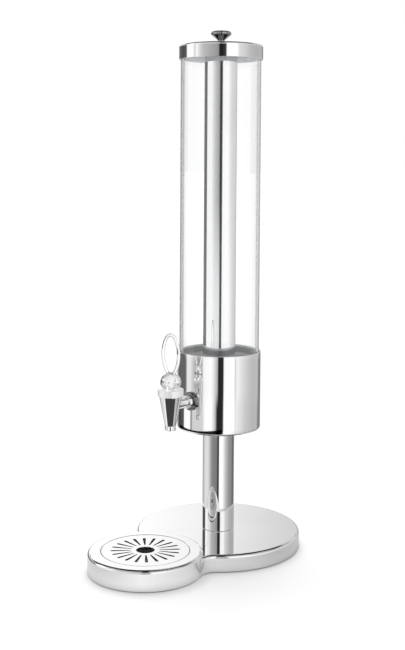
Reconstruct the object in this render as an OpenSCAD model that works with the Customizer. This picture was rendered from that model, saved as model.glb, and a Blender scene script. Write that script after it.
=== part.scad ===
// Juice dispenser. A clear tank with an ice tube in it stands in a polished cup
// on a column, over a heavy round base with a drip tray in front, and empties
// through a lever tap. The origin is where the column's axis meets the table.
// +Z is up and the tap and the tray face -Y.

/* [Base] */
// Diameter of the round base under the column
base_d = 234.7; // [215:0.1:250]
// Height of the base's flat top above the table
base_h = 24; // [23:0.1:32]
// Sheet thickness of the pressed base
base_t = 1.2; // [0.8:0.1:1.6]
// Radius of the rounded top edges of base and tray
base_edge_r = 4.5; // [3:0.1:6]
// Radius of the fillets where the base runs into the tray
notch_r = 25; // [15:0.5:32]
// Height of the base's lower rim above the table
rim_lift = 0.8; // [0.4:0.1:1.5]
// Thickness of the anti-slip pad
pad_t = 2; // [1.6:0.1:2.5]
// Thickness of the steel floor plate
floor_t = 3; // [2:0.1:3.5]
// Gap between the cast ballast disc and the nearest post or wall
ballast_gap = 3.5; // [2:0.1:15]
// Thickness of the cast ballast disc
ballast_h = 12; // [10:0.1:12.5]

/* [Tray] */
// Width of the tray housing's flat rim round the well
tray_rim_w = 17.85; // [15:0.05:24]
// Height of the tray housing's flat rim above the table
tray_h = 28.7; // [28.5:0.1:33]
// Distance from the column's axis to the tray's centre
tray_reach = 149.2; // [147:0.1:156]
// Bore of the pressed well that holds the drip cup
well_d = 121; // [105:0.1:132]
// Height of the well's floor above the table
well_floor_z = 9; // [8:0.1:11]
// Thickness of the drip grille
grille_t = 1.5; // [1:0.1:2]
// Depth of the grille's face below the tray's rim
grille_drop = 0.2; // [0:0.1:1]
// Wall of the drip cup
drip_t = 1; // [0.6:0.1:1.4]
// Width of the drip cup's inner flange
drip_flange_w = 3.8; // [2:0.1:6]
// Number of radial slots in the grille
slot_count = 20; // [12:1:28]
// Inner diameter of the ring of slots
slot_in_d = 38.5; // [34:0.1:50]
// Outer diameter of the ring of slots
slot_out_d = 94; // [80:0.1:100]
// Angle that each slot spans
slot_span = 5.8; // [3:0.1:8]
// Turn of the ring of slots from the front-to-back line
slot_turn = 11; // [0:1:17]
// Diameter of the grille's central hole
grille_hole_d = 25; // [20:0.1:30]

/* [Column] */
// Outer diameter of the column tube
column_d = 46; // [40:0.1:52]
// Wall of the column tube
column_t = 1.5; // [1:0.1:2.5]
// Height of the turned plugs in the column's ends
plug_h = 14; // [8:0.5:20]
// Diameter of the tie rod
rod_d = 10; // [8:0.5:12]
// Width of the rod nuts across flats
nut_af = 17; // [16:0.5:19]
// Height of each rod nut
nut_h = 8; // [6:0.1:8.6]
// Thickness of each rod washer
washer_t = 2; // [1.5:0.1:2.2]

/* [Cup] */
// Gap between the tank and the wall of the polished cup
cup_gap = 1.3; // [1:0.1:2.5]
// Height of the cup's underside above the table
cup_z = 171.5; // [165:0.5:180]
// Height of the cup
cup_h = 111.7; // [104:0.1:120]
// Wall of the cup
cup_t = 1.2; // [0.8:0.1:1.3]
// Radius of the cup's bottom edge
cup_edge_r = 3; // [2:0.1:6]
// Height of the cradle that the tank stands on
cradle_h = 15.3; // [14.5:0.1:18]
// Height of the cradle's centring rim above its seat
cradle_rim_h = 12; // [6:0.5:13]

/* [Tank] */
// Outer diameter of the clear tank
tank_d = 115; // [100:0.1:130]
// Wall of the clear tank
tank_t = 3; // [2:0.1:4]
// Height of the tank
tank_h = 528; // [420:1:560]
// Thickness of the tank's floor disc
tank_floor_t = 5; // [4:0.1:7]
// Diameter of the boss that centres the ice tube
boss_d = 20; // [16:0.5:26]
// Height of the boss that centres the ice tube
boss_h = 8; // [5:0.5:9]

/* [Ice tube] */
// Outer diameter of the ice tube
ice_d = 46.7; // [40:0.1:48]
// Wall of the ice tube
ice_t = 1; // [0.6:0.1:1.5]
// Thickness of the ice tube's foot under the tube
ice_foot_h = 4; // [3:0.1:5]
// How far the foot reaches up inside the ice tube
ice_plug_h = 7.7; // [7:0.1:12]
// Gap between the ice tube's top and the lid's insert
ice_head_gap = 4; // [2:0.1:5]

/* [Lid] */
// Gap between the tank and the lid's wall
lid_gap = 1.3; // [0.8:0.1:2.5]
// Height of the lid
lid_h = 21.1; // [19:0.1:28]
// Sheet thickness of the lid
lid_t = 1.2; // [0.8:0.1:1.3]
// Radius of the lid's top edge
lid_edge_r = 3.4; // [2:0.1:6]
// Thickness of the insert's disc
insert_t = 3.4; // [2:0.1:4]
// Depth of the insert's two rings below its disc
insert_ring_h = 8; // [7.5:0.1:10]
// Wall of the insert's two rings
insert_wall = 2.5; // [2.2:0.1:4]
// Diameter of the lid knob
knob_d = 29.2; // [22:0.1:34]
// Height of the lid knob
knob_h = 20.8; // [17:0.1:26]
// Diameter of the knob's neck
knob_neck_d = 9.4; // [8.5:0.1:12]
// Diameter of the knob's screw
knob_screw_d = 5; // [4:0.5:6]

/* [Tap] */
// Distance from the cup's wall to the spout's axis
spout_stand = 41; // [38:0.1:52]
// Height of the spout's tip above the cup's underside
spout_lift = 12.5; // [9.5:0.1:15.5]
// Length of the spout from its tip to the bonnet
spout_h = 48; // [46:0.1:52]
// Diameter of the spout at the bonnet
spout_top_d = 32.2; // [30:0.1:34]
// Diameter of the spout where the outlet ring starts
spout_low_d = 15.9; // [15:0.1:18]
// Height of the outlet ring
outlet_ring_h = 7; // [5:0.1:9]
// Bore of the outlet
outlet_bore_d = 10; // [7:0.1:10.5]
// Bore of the valve chamber
chamber_d = 20; // [18:0.1:20.5]
// Height of the tap's shank above the spout's tip
shank_rise = 34; // [32:0.5:38]
// Diameter of the tap's shank
shank_d = 14; // [12:0.1:15]
// Diameter of the shoulder that the shank bears on the escutcheon with
shoulder_d = 19; // [16:0.1:22]
// Length of the shank's shoulder
shoulder_len = 7; // [4:0.1:10]
// Bore of the tap's shank
shank_bore_d = 8; // [6:0.1:9]
// Diameter of the escutcheon on the cup
escutcheon_d = 26.5; // [22:0.1:28]
// Thickness of the escutcheon at its middle
escutcheon_t = 4; // [3:0.1:6]
// Width of the inner tap nut across flats
tap_nut_af = 22; // [19:0.5:24]
// Thickness of the inner tap nut
tap_nut_t = 6; // [4:0.1:7]
// Diameter of the bonnet ring
bonnet_d = 36; // [34.5:0.1:40]
// Height of the bonnet ring
bonnet_h = 9.6; // [7:0.1:11]
// Chamfer of the bonnet ring
bonnet_chamfer = 1; // [0.5:0.1:1.5]
// Diameter of the valve stem
stem_d = 5; // [4:0.1:5.4]
// Diameter of the silicone seat cup
seat_d = 16; // [13:0.1:17]
// Height of the silicone seat cup
seat_h = 8; // [6:0.1:9]
// Wire diameter of the return spring
spring_wire = 0.8; // [0.6:0.05:1]
// Mean diameter of the return spring
spring_d = 9; // [8.6:0.1:11]
// Number of turns of the return spring
spring_turns = 5; // [3:1:5]

/* [Handle] */
// Radius of the flat that the handle rocks over
rock_r = 7; // [5:0.1:8]
// Radius of the handle's lower edge, and height of its pin
rock_edge_r = 7.5; // [6:0.1:9]
// Height of the handle's rounded base
apple_h = 20.7; // [20:0.1:26]
// Radius of the base's rounded top
apple_top_r = 12; // [10:0.1:12.5]
// Diameter of the handle's hinge pin
hinge_pin_d = 3; // [2:0.1:3.4]
// Width of the ring along its centre line
ring_w = 29.4; // [26:0.1:34]
// Height of the ring along its centre line
ring_h = 54.2; // [48:0.1:60]
// Radius of the ring's ends along its centre line
ring_end_r = 9.5; // [8:0.1:11]
// Diameter of the ring's round section
ring_wire = 5; // [4:0.1:6.5]

/* [Fits] */
// Radial clearance of parts that turn or slide on each other
running_fit = 0.05; // [0.02:0.01:0.08]
// Clearance between parts that lift apart
loose_fit = 0.3; // [0.2:0.05:0.4]
// Radial clearance of a bolt in its hole
bolt_fit = 0.25; // [0.1:0.05:0.4]

/* [Hidden] */
$fn = 96;

// Cuts run past the faces that they open by this much
overrun = 1;
// Blended walls bite into each other by this much, so that they never just touch
bite = 0.05;
steel = "gainsboro";
bright = "silver";
clear = [0.9, 0.93, 0.95, 0.35];
smoke = [0.8, 0.82, 0.84, 0.5];
dark = "dimgray";

// Base and tray
base_r = base_d / 2;
tray_r = well_d / 2 + tray_rim_w;
floor_z = pad_t;
floor_top_z = floor_z + floor_t;
pad_inset = base_t + loose_fit * 2;
plate_inset = base_t + loose_fit;
web_chamfer_share = 0.65;
fillet_dy = (pow(base_r + notch_r, 2) - pow(tray_r + notch_r, 2) + pow(tray_reach, 2))
            / (2 * tray_reach);
fillet_dx = sqrt(pow(base_r + notch_r, 2) - pow(fillet_dy, 2));
// Floor screws: places round the base and round the tray, and their sizes
post_d = 8;
post_wall_gap = 9;
base_post_angles = [90, 200, 340];
tray_post_angles = [240, 300];
base_post_r = base_r - base_t - post_wall_gap;
tray_post_r = (well_d / 2 + tray_r) / 2;
ballast_r = min(base_post_r - post_d / 2, tray_reach - well_d / 2 - base_t) - ballast_gap;
screw_d = 4;
screw_head_d = 8;
screw_head_h = 2.2;
screw_len = 12;
// Drip cup and grille
drip_r = well_d / 2 - loose_fit * 2;
drip_z = well_floor_z + loose_fit;
grille_top_z = tray_h - grille_drop;
grille_z = grille_top_z - grille_t;
drip_top_z = grille_z - loose_fit;

// Tie rod stack, from the cup's floor down to the nut under the ballast
ballast_z = base_h - base_t - ballast_h;
ballast_pocket_d = 28;
ballast_pocket_h = 6;
low_washer_z = ballast_z + ballast_pocket_h - washer_t;
low_nut_z = low_washer_z - nut_h;
cup_floor_z = cup_z + cup_t;
high_washer_z = cup_floor_z;
high_nut_z = high_washer_z + washer_t;
low_washer_d = 24;
high_washer_d = 30;
rod_tail = 1;
rod_hole_r = rod_d / 2 + bolt_fit;

// Cup, tank and ice tube
tank_r = tank_d / 2;
cup_in_r = tank_r + cup_gap;
cup_r = cup_in_r + cup_t;
tank_in_r = tank_r - tank_t;
tank_z = cup_floor_z + cradle_h;
tank_top_z = tank_z + tank_h;
tank_floor_top_z = tank_z + tank_floor_t;
cradle_pocket_d = 36;
rim_band_h = 8;
rim_band_drop = 3;
ice_r = ice_d / 2;
ice_foot_z = tank_floor_top_z + loose_fit;
ice_z = ice_foot_z + ice_foot_h;
insert_z = tank_top_z + loose_fit;
ice_top_z = insert_z - ice_head_gap;

// Lid and knob
lid_r = tank_r + lid_gap + lid_t;
lid_top_z = insert_z + insert_t + lid_t;
lid_z = lid_top_z - lid_h;
insert_r = lid_r - lid_t - running_fit;
seal_h = 2;
seal_depth = 1.4;
seal_drop = 3;
knob_neck_h = 6.5;
knob_rim_z = 16.4;
knob_rim_r = 3.2;
knob_screw_head_d = 9.5;
knob_screw_head_h = 2.8;
knob_screw_grip = 11;

// Tap: its place before the cup, and heights up the spout's axis
spout_reach = cup_r + spout_stand;
spout_z = cup_z + spout_lift;
shank_z = spout_z + shank_rise;
spout_top_z = spout_z + spout_h;
spout_low_z = spout_z + outlet_ring_h;
tip_wall = 1.4;
valve_face_share = 0.5;
valve_face_z = spout_z + valve_face_share * spout_h;
seat_gap = 0.2;
seat_z = valve_face_z + seat_gap;
seat_top_z = seat_z + seat_h;
seat_bore_h = 6;
bonnet_top_z = spout_top_z + bonnet_h;
spigot_h = 4;
dish_d = 20;
dish_h = 0.4;
dish_z = bonnet_top_z + dish_h;
stem_seal_d = 8;
stem_seal_h = 1.8;
stem_seal_lift = 1.2;
spring_gap = 0.2;
shank_end_gap = 2;
washer_d = 26;
washer_mid_t = 3;
spacer_d = 24;
shoulder_y = -cup_r - escutcheon_t;
tap_washer_y = -(tank_in_r - washer_mid_t);
tap_nut_y = tap_washer_y + tap_nut_t;
shank_end_y = tap_nut_y + shank_end_gap;

// Handle: the base rocks over its flat, so the pin rises as the handle tips
handle_z = dish_z + loose_fit;
pin_z = handle_z + rock_edge_r;
apple_r = rock_r + rock_edge_r;
apple_top_z = handle_z + apple_h;
handle_tilt = 30;
stem_lift = rock_r * sin(handle_tilt);
stem_head = 3;
stem_top_z = pin_z + stem_head;
slot_w = stem_d + 2 * loose_fit;
slot_front = rock_edge_r * tan(handle_tilt) + stem_d / 2 / cos(handle_tilt) + loose_fit;
slot_back = stem_head * sin(handle_tilt) + stem_d / 2 * cos(handle_tilt) + loose_fit;
slot_top = sqrt(pow(stem_head, 2) + pow(stem_d / 2, 2)) + loose_fit;
ring_sink = 1;
ring_z = apple_top_z - ring_sink + ring_h / 2;
ring_side_r = (pow(ring_w / 2, 2) + pow(ring_h / 2, 2) - ring_h * ring_end_r)
              / (ring_w - 2 * ring_end_r);
ring_joint = atan2(ring_h / 2 - ring_end_r, ring_side_r - ring_w / 2);

echo(stem_lift = stem_lift, lid_top_z = lid_top_z, pin_z = pin_z, dish_z = dish_z,
     ring_top = ring_z + ring_h / 2 + ring_wire / 2, seat_z = seat_z,
     overall_h = lid_top_z + knob_h);

// A tube between two radii
module ring(r_out, r_in, h) {
    difference() {
        cylinder(r = r_out, h = h);
        translate([0, 0, -overrun]) cylinder(r = r_in, h = h + 2 * overrun);
    }
}

// A disc whose top edge is rounded
module edged_disc(r, h, edge_r) {
    rotate_extrude() {
        square([r - edge_r, h]);
        square([r, h - edge_r]);
        translate([r - edge_r, h - edge_r]) intersection() {
            circle(r = edge_r);
            square([edge_r, edge_r]);
        }
    }
}

// The four-sided web between base and tray, with its two concave sides cut
module web(inset, z, h, chamfer) {
    cut_r = notch_r + inset + bite;
    difference() {
        translate([0, 0, z]) linear_extrude(height = h)
            polygon([[0, 0], [fillet_dx, -fillet_dy], [0, -tray_reach],
                     [-fillet_dx, -fillet_dy]]);
        for (side = [-1, 1]) translate([side * fillet_dx, -fillet_dy, z]) {
            translate([0, 0, -overrun]) cylinder(r = cut_r, h = h + 2 * overrun);
            if (chamfer > 0) translate([0, 0, h - chamfer])
                cylinder(r1 = cut_r, r2 = cut_r + chamfer + overrun, h = chamfer + overrun);
        }
    }
}

// Base and tray as one rounded block, drawn in from the outside by an inset
module base_block(inset, z, base_top, tray_top) {
    edge_r = base_edge_r - inset;
    translate([0, 0, z]) edged_disc(base_r - inset, base_top - z, edge_r);
    translate([0, -tray_reach, z]) edged_disc(tray_r - inset, tray_top - z, edge_r);
    web(inset, z, base_top - z, web_chamfer_share * base_edge_r - bite * inset);
}

// Base and tray as one flat plate
module base_plate(inset, z, h) {
    translate([0, 0, z]) cylinder(r = base_r - inset, h = h);
    translate([0, -tray_reach, z]) cylinder(r = tray_r - inset, h = h);
    web(inset, z, h, 0);
}

// Puts its children at each floor screw under the base
module at_base_posts() {
    for (a = base_post_angles) rotate(a) translate([base_post_r, 0, 0]) children();
}

// Puts its children at each floor screw under the tray
module at_tray_posts() {
    translate([0, -tray_reach, 0])
        for (a = tray_post_angles) rotate(a) translate([tray_post_r, 0, 0]) children();
}

// A threaded post with its blind screw hole
module post(top_z) {
    difference() {
        translate([0, 0, floor_top_z]) cylinder(d = post_d, h = top_z - floor_top_z);
        translate([0, 0, floor_top_z - overrun])
            cylinder(r = screw_d / 2 + running_fit, h = screw_len + overrun);
    }
}

// A countersunk screw, or with a fit its hole
module floor_screw(fit) {
    cylinder(r = screw_d / 2 + fit, h = screw_len);
    cylinder(r1 = screw_head_d / 2 + fit, r2 = screw_d / 2 + fit, h = screw_head_h);
}

module base_shell() {
    color(bright) {
        difference() {
            union() {
                difference() {
                    base_block(0, rim_lift, base_h, tray_h);
                    base_block(base_t, rim_lift - overrun, base_h - base_t, tray_h - base_t);
                }
                translate([0, -tray_reach, well_floor_z - base_t])
                    cylinder(r = well_d / 2 + base_t, h = tray_h - base_t / 2 - well_floor_z + base_t);
                at_base_posts() post(base_h - base_t / 2);
                at_tray_posts() post(tray_h - base_t / 2);
            }
            translate([0, -tray_reach, well_floor_z])
                cylinder(d = well_d, h = tray_h - well_floor_z + overrun);
            translate([0, 0, base_h - base_t - overrun])
                cylinder(r = rod_hole_r, h = base_t + 2 * overrun);
        }
    }
}

module base_floor() {
    color(dark) difference() {
        base_plate(plate_inset, floor_z, floor_t);
        at_base_posts() translate([0, 0, floor_z]) floor_screw(running_fit);
        at_tray_posts() translate([0, 0, floor_z]) floor_screw(running_fit);
    }
}

module anti_slip_pad() {
    color("black") base_plate(pad_inset, 0, pad_t);
}

module ballast_disc() {
    color(dark) difference() {
        translate([0, 0, ballast_z]) cylinder(r = ballast_r, h = ballast_h);
        translate([0, 0, ballast_z - overrun])
            cylinder(r = rod_hole_r, h = ballast_h + 2 * overrun);
        translate([0, 0, ballast_z - overrun])
            cylinder(d = ballast_pocket_d, h = ballast_pocket_h + overrun);
    }
}

module floor_screws() {
    color(steel) {
        at_base_posts() translate([0, 0, floor_z]) floor_screw(0);
        at_tray_posts() translate([0, 0, floor_z]) floor_screw(0);
    }
}

module column_tube() {
    color(bright) translate([0, 0, base_h])
        ring(column_d / 2, column_d / 2 - column_t, cup_z - base_h);
}

// A turned plug in an end of the column, bored for the tie rod
module column_plug(z) {
    color(steel) translate([0, 0, z])
        ring(column_d / 2 - column_t - running_fit, rod_hole_r, plug_h);
}

module column_foot_plug() {
    column_plug(base_h);
}

module column_head_plug() {
    column_plug(cup_z - plug_h);
}

module tie_rod() {
    z = low_nut_z - rod_tail;
    color(steel) translate([0, 0, z]) cylinder(d = rod_d, h = high_nut_z + nut_h + rod_tail * 2 - z);
}

// A hexagon nut along +Z from its lower face
module hex_nut(af, h, bore_r) {
    difference() {
        cylinder(d = af / cos(30), h = h, $fn = 6);
        translate([0, 0, -overrun]) cylinder(r = bore_r, h = h + 2 * overrun);
    }
}

module rod_nuts() {
    color(steel) for (z = [low_nut_z, high_nut_z])
        translate([0, 0, z]) hex_nut(nut_af, nut_h, rod_d / 2 + running_fit);
}

module rod_washers() {
    color(steel) {
        translate([0, 0, low_washer_z]) ring(low_washer_d / 2, rod_hole_r, washer_t);
        translate([0, 0, high_washer_z]) ring(high_washer_d / 2, rod_hole_r, washer_t);
    }
}

// A round rod along the tap's shank, from one y to another
module along_shank(r, y1, y2) {
    translate([0, y1, shank_z]) rotate([-90, 0, 0]) cylinder(r = r, h = y2 - y1);
}

module cup_housing() {
    color(bright) difference() {
        translate([0, 0, cup_z + cup_h]) mirror([0, 0, 1]) edged_disc(cup_r, cup_h, cup_edge_r);
        translate([0, 0, cup_z + cup_h + overrun]) mirror([0, 0, 1])
            edged_disc(cup_in_r, cup_h - cup_t + overrun, cup_edge_r - cup_t);
        translate([0, 0, cup_z - overrun]) cylinder(r = rod_hole_r, h = cup_t + 2 * overrun);
        along_shank(shank_d / 2 + bolt_fit, -cup_r - overrun, -cup_r / 2);
    }
}

module tank_cradle() {
    rim_in_r = tank_r + bolt_fit;
    rim_out_r = cup_in_r - bolt_fit;
    color("white") {
        difference() {
            translate([0, 0, tank_z + cradle_rim_h]) mirror([0, 0, 1])
                edged_disc(rim_out_r, cradle_h + cradle_rim_h, cup_edge_r - cup_t);
            translate([0, 0, tank_z]) cylinder(r = rim_in_r, h = cradle_rim_h + overrun);
            translate([0, 0, cup_floor_z - overrun])
                cylinder(d = cradle_pocket_d, h = cradle_h + 2 * overrun);
        }
    }
}

module rim_band() {
    color(smoke) translate([0, 0, cup_z + cup_h - rim_band_drop - rim_band_h])
        ring(cup_in_r - running_fit, tank_r + running_fit, rim_band_h);
}

module tank_tube() {
    color(clear) difference() {
        translate([0, 0, tank_z]) ring(tank_r, tank_in_r, tank_h);
        along_shank(shank_d / 2 + bolt_fit, -tank_r - overrun, -tank_r / 2);
    }
}

module tank_floor() {
    color(clear) {
        translate([0, 0, tank_z]) cylinder(r = tank_in_r - running_fit, h = tank_floor_t);
        translate([0, 0, tank_z]) cylinder(d = boss_d, h = tank_floor_t + boss_h);
    }
}

module ice_tube() {
    color(bright) translate([0, 0, ice_z]) ring(ice_r, ice_r - ice_t, ice_top_z - ice_z);
}

module ice_tube_foot() {
    color(steel) difference() {
        union() {
            translate([0, 0, ice_foot_z]) cylinder(r = ice_r, h = ice_foot_h);
            translate([0, 0, ice_foot_z])
                cylinder(r = ice_r - ice_t - running_fit, h = ice_foot_h + ice_plug_h);
        }
        translate([0, 0, ice_foot_z - overrun])
            cylinder(r = boss_d / 2 + loose_fit, h = boss_h + overrun);
    }
}

module lid_shell() {
    color(bright) difference() {
        translate([0, 0, lid_z]) edged_disc(lid_r, lid_h, lid_edge_r);
        translate([0, 0, lid_z - overrun])
            edged_disc(lid_r - lid_t, lid_h - lid_t + overrun, lid_edge_r - lid_t);
        translate([0, 0, lid_top_z - lid_t - overrun])
            cylinder(r = knob_screw_d / 2 + bolt_fit, h = lid_t + 2 * overrun);
    }
}

module lid_insert() {
    plug_r = tank_in_r - loose_fit;
    socket_r = ice_r + loose_fit;
    color(smoke) difference() {
        union() {
            translate([0, 0, insert_z]) edged_disc(insert_r, insert_t, lid_edge_r - lid_t);
            translate([0, 0, insert_z - insert_ring_h])
                ring(plug_r, plug_r - insert_wall, insert_ring_h + insert_t / 2);
            translate([0, 0, insert_z - insert_ring_h])
                ring(socket_r + insert_wall, socket_r, insert_ring_h + insert_t / 2);
        }
        translate([0, 0, insert_z - seal_drop - seal_h])
            ring(plug_r + overrun, plug_r - seal_depth, seal_h);
        translate([0, 0, insert_z - overrun])
            cylinder(r = knob_screw_d / 2 + bolt_fit, h = insert_t + 2 * overrun);
    }
}

module lid_seal() {
    plug_r = tank_in_r - loose_fit;
    color("white") translate([0, 0, insert_z - seal_drop - seal_h + running_fit])
        ring(tank_in_r - running_fit * 2, plug_r - seal_depth + running_fit, seal_h - 2 * running_fit);
}

module lid_knob() {
    neck_r = knob_neck_d / 2;
    top_r = knob_d / 2 - knob_rim_r;
    dome_h = knob_h - knob_rim_z - knob_rim_r;
    dome_r = (pow(top_r, 2) + pow(dome_h, 2)) / (2 * dome_h);
    color(dark) translate([0, 0, lid_top_z]) difference() {
        rotate_extrude() {
            polygon([[0, 0], [neck_r, 0], [neck_r, knob_neck_h], [top_r, knob_rim_z - knob_rim_r],
                     [top_r, knob_rim_z + knob_rim_r], [0, knob_rim_z + knob_rim_r]]);
            translate([top_r, knob_rim_z]) intersection() {
                circle(r = knob_rim_r);
                translate([0, -knob_rim_r]) square([knob_rim_r, 2 * knob_rim_r]);
            }
            intersection() {
                translate([0, knob_h - dome_r]) circle(r = dome_r);
                translate([0, knob_rim_z + knob_rim_r - bite]) square([top_r, dome_h + bite]);
            }
        }
        translate([0, 0, -overrun])
            cylinder(r = knob_screw_d / 2 + running_fit, h = knob_screw_grip + overrun);
    }
}

module knob_screw() {
    color(steel) {
        translate([0, 0, insert_z - knob_screw_head_h])
            cylinder(d = knob_screw_head_d, h = knob_screw_head_h);
        translate([0, 0, insert_z - knob_screw_head_h])
            cylinder(d = knob_screw_d, h = knob_screw_head_h + insert_t + lid_t + knob_screw_grip);
    }
}

module drip_cup() {
    color(bright) translate([0, -tray_reach, 0]) {
        difference() {
            translate([0, 0, drip_top_z]) mirror([0, 0, 1])
                edged_disc(drip_r, drip_top_z - drip_z, base_edge_r);
            translate([0, 0, drip_top_z + overrun]) mirror([0, 0, 1])
                edged_disc(drip_r - drip_t, drip_top_z - drip_z - drip_t + overrun, base_edge_r - drip_t);
        }
        translate([0, 0, drip_top_z - drip_t])
            ring(drip_r - drip_t / 2, drip_r - drip_flange_w, drip_t);
    }
}

// One slot of the grille, wider at its outer end
module grille_slot() {
    half = slot_span / 2;
    polygon([[slot_in_d / 2 * cos(half), slot_in_d / 2 * sin(half)],
             [slot_out_d / 2 * cos(half), slot_out_d / 2 * sin(half)],
             [slot_out_d / 2 * cos(half), -slot_out_d / 2 * sin(half)],
             [slot_in_d / 2 * cos(half), -slot_in_d / 2 * sin(half)]]);
}

module drip_grille() {
    color(bright) translate([0, -tray_reach, grille_z]) linear_extrude(height = grille_t)
        difference() {
            circle(r = drip_r);
            circle(d = grille_hole_d);
            for (i = [0 : slot_count - 1]) rotate(90 + slot_turn + i * 360 / slot_count) grille_slot();
        }
}

module tap_body() {
    tip_r = outlet_bore_d / 2 + tip_wall;
    color(bright) difference() {
        union() {
            translate([0, -spout_reach, spout_low_z])
                cylinder(d1 = spout_low_d, d2 = spout_top_d, h = spout_top_z - spout_low_z);
            translate([0, -spout_reach, spout_z]) cylinder(r = tip_r, h = spout_low_z - spout_z + overrun);
            along_shank(shank_d / 2, -spout_reach, shank_end_y);
            along_shank(shoulder_d / 2, shoulder_y - shoulder_len, shoulder_y);
        }
        translate([0, -spout_reach, valve_face_z])
            cylinder(d = chamber_d, h = spout_top_z - valve_face_z + overrun);
        translate([0, -spout_reach, spout_z - overrun])
            cylinder(d = outlet_bore_d, h = valve_face_z - spout_z + 2 * overrun);
        along_shank(shank_bore_d / 2, -spout_reach, shank_end_y + overrun);
    }
}

module outlet_ring() {
    color(bright) translate([0, -spout_reach, spout_z])
        ring(spout_low_d / 2, outlet_bore_d / 2 + tip_wall + running_fit, outlet_ring_h);
}

module escutcheon() {
    color(bright) difference() {
        translate([0, shoulder_y, shank_z]) rotate([-90, 0, 0])
            mirror([0, 0, 1]) translate([0, 0, -2 * escutcheon_t])
            edged_disc(escutcheon_d / 2, 2 * escutcheon_t, bonnet_chamfer * 2);
        cylinder(r = cup_r + running_fit, h = cup_z + cup_h);
        along_shank(shank_d / 2 + running_fit, shoulder_y - overrun, 0);
    }
}

module shank_spacer() {
    color(smoke) difference() {
        intersection() {
            along_shank(spacer_d / 2, -cup_r, -tank_in_r);
            translate([0, 0, cup_z]) cylinder(r = cup_in_r - running_fit, h = cup_h);
        }
        translate([0, 0, cup_z]) cylinder(r = tank_r + running_fit, h = cup_h);
        along_shank(shank_d / 2 + running_fit, -cup_r, 0);
    }
}

module shank_washer() {
    color("white") difference() {
        intersection() {
            along_shank(washer_d / 2, -tank_r, tap_washer_y);
            translate([0, 0, cup_z]) cylinder(r = tank_in_r - running_fit, h = cup_h);
        }
        along_shank(shank_d / 2 + running_fit, -tank_r, 0);
    }
}

module tap_nut() {
    color(steel) translate([0, tap_washer_y, shank_z]) rotate([-90, 0, 0])
        hex_nut(tap_nut_af, tap_nut_t, shank_d / 2 + running_fit);
}

module tap_bonnet() {
    r = bonnet_d / 2;
    c = bonnet_chamfer;
    color(bright) translate([0, -spout_reach, spout_top_z]) difference() {
        rotate_extrude()
            polygon([[0, -spigot_h], [chamber_d / 2 - running_fit, -spigot_h],
                     [chamber_d / 2 - running_fit, 0], [r - c, 0], [r, c], [r, bonnet_h - c],
                     [r - c, bonnet_h], [dish_d / 2, bonnet_h], [dish_d / 2, bonnet_h + dish_h],
                     [0, bonnet_h + dish_h]]);
        translate([0, 0, -spigot_h - overrun])
            cylinder(r = stem_d / 2 + running_fit, h = spigot_h + bonnet_h + dish_h + 2 * overrun);
        translate([0, 0, stem_seal_lift - spigot_h]) cylinder(d = stem_seal_d, h = stem_seal_h);
    }
}

module stem_seal() {
    color(dark) translate([0, -spout_reach, spout_top_z - spigot_h + stem_seal_lift + running_fit])
        ring(stem_seal_d / 2 - running_fit, stem_d / 2 + running_fit, stem_seal_h - 2 * running_fit);
}

module valve_stem() {
    z = seat_top_z - seat_bore_h + running_fit;
    color(steel) translate([0, -spout_reach, 0]) difference() {
        translate([0, 0, z]) cylinder(d = stem_d, h = stem_top_z - z);
        translate([-stem_d, 0, pin_z]) rotate([0, 90, 0])
            cylinder(r = hinge_pin_d / 2 + running_fit, h = 2 * stem_d);
    }
}

module valve_seat() {
    color("white") translate([0, -spout_reach, 0]) difference() {
        translate([0, 0, seat_z]) edged_disc(seat_d / 2, seat_h, seat_d / 4);
        translate([0, 0, seat_top_z - seat_bore_h])
            cylinder(r = stem_d / 2 + running_fit, h = seat_bore_h + overrun);
    }
}

// Return spring: points along its wire, swept with a six-sided section
spring_z = seat_top_z + spring_gap + spring_wire / 2;
spring_top_z = spout_top_z - spigot_h - spring_gap - spring_wire / 2;
spring_rings = 8;
spring_sides = 6;
spring_steps = spring_turns * spring_rings;
spring_pitch = (spring_top_z - spring_z) / spring_turns;
function spring_point(i) = let(a = 360 * i / spring_rings)
    [spring_d / 2 * cos(a), spring_d / 2 * sin(a), spring_z + spring_pitch * i / spring_rings];
function spring_section(i) = let(a = 360 * i / spring_rings, p = spring_point(i))
    [for (k = [0 : spring_sides - 1]) let(b = 360 * k / spring_sides)
        [p[0] + spring_wire / 2 * cos(b) * cos(a), p[1] + spring_wire / 2 * cos(b) * sin(a),
         p[2] + spring_wire / 2 * sin(b)]];
echo(spring_least_gap = spring_pitch - spring_wire);

module return_spring() {
    points = [for (i = [0 : spring_steps]) each spring_section(i)];
    last = spring_steps * spring_sides;
    sides = [for (i = [0 : spring_steps - 1]) for (k = [0 : spring_sides - 1])
        let(n = (k + 1) % spring_sides, a = i * spring_sides, b = a + spring_sides)
            each [[a + k, b + n, a + n], [a + k, b + k, b + n]]];
    first_end = [for (k = [1 : spring_sides - 2]) [0, k, k + 1]];
    last_end = [for (k = [1 : spring_sides - 2]) [last, last + k + 1, last + k]];
    color(steel) translate([0, -spout_reach, 0])
        polyhedron(points = points, faces = concat(sides, first_end, last_end));
}

// The handle's ring: four arcs of round bar in the XZ plane
module ring_arc(centre_x, centre_z, r, from, to) {
    translate([centre_x, 0, centre_z]) rotate([90, 0, 0]) rotate(from)
        rotate_extrude(angle = to - from) translate([r, 0]) circle(d = ring_wire);
}

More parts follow.
